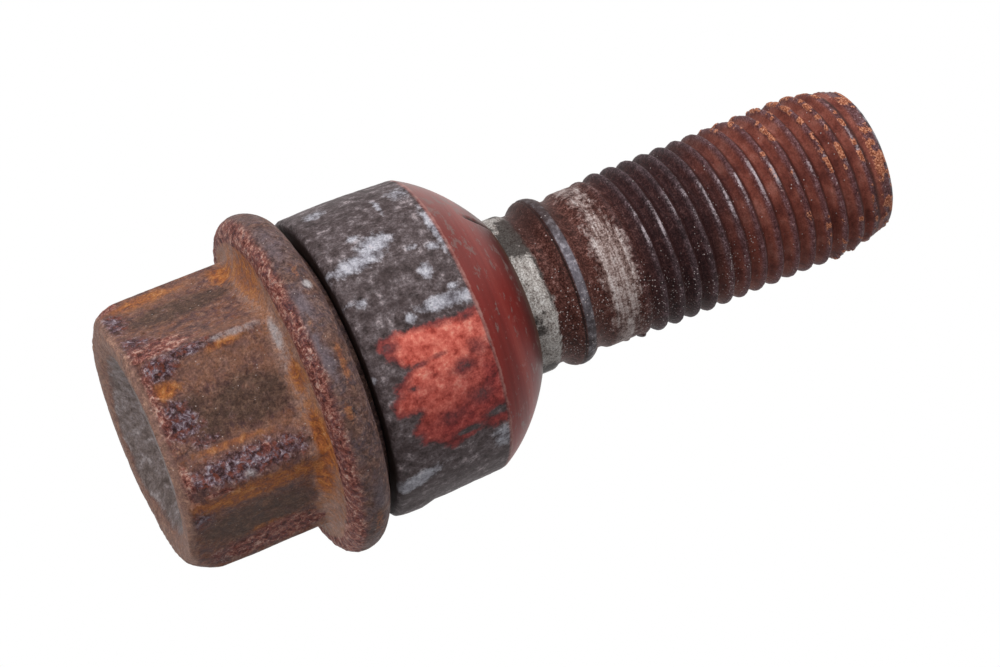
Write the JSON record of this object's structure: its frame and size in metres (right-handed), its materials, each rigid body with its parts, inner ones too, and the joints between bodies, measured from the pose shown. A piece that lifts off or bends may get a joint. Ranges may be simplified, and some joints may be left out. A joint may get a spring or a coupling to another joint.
{
  "type": "wheel bolt",
  "caption": "Used M14 wheel bolt with a hexagon head on a round flange and a loose ball-seat collar held captive by a rolled bead.",
  "frame": {"origin": "centre of the head's end, which the bolt stands on", "axes": "+Z along the bolt's axis towards the tip; a hexagon corner points along +X and a flat faces +Y"},
  "size_m": [0.0284, 0.0284, 0.0644],
  "materials": {
    "forged_steel": "rusted and worn forged steel",
    "collar_steel": "dark steel with a red painted ball face"
  },
  "bodies": {
    "bolt": {"bolt": "forged_steel"},
    "seat_collar": {"seat_collar": "collar_steel"}
  },
  "joints": [
    {"name": "collar_spin", "type": "hinge", "parent": "bolt", "child": "seat_collar", "pos_m": [0, 0, 0.0165], "axis": [0, 0, 1], "continuous": true}
  ]
}
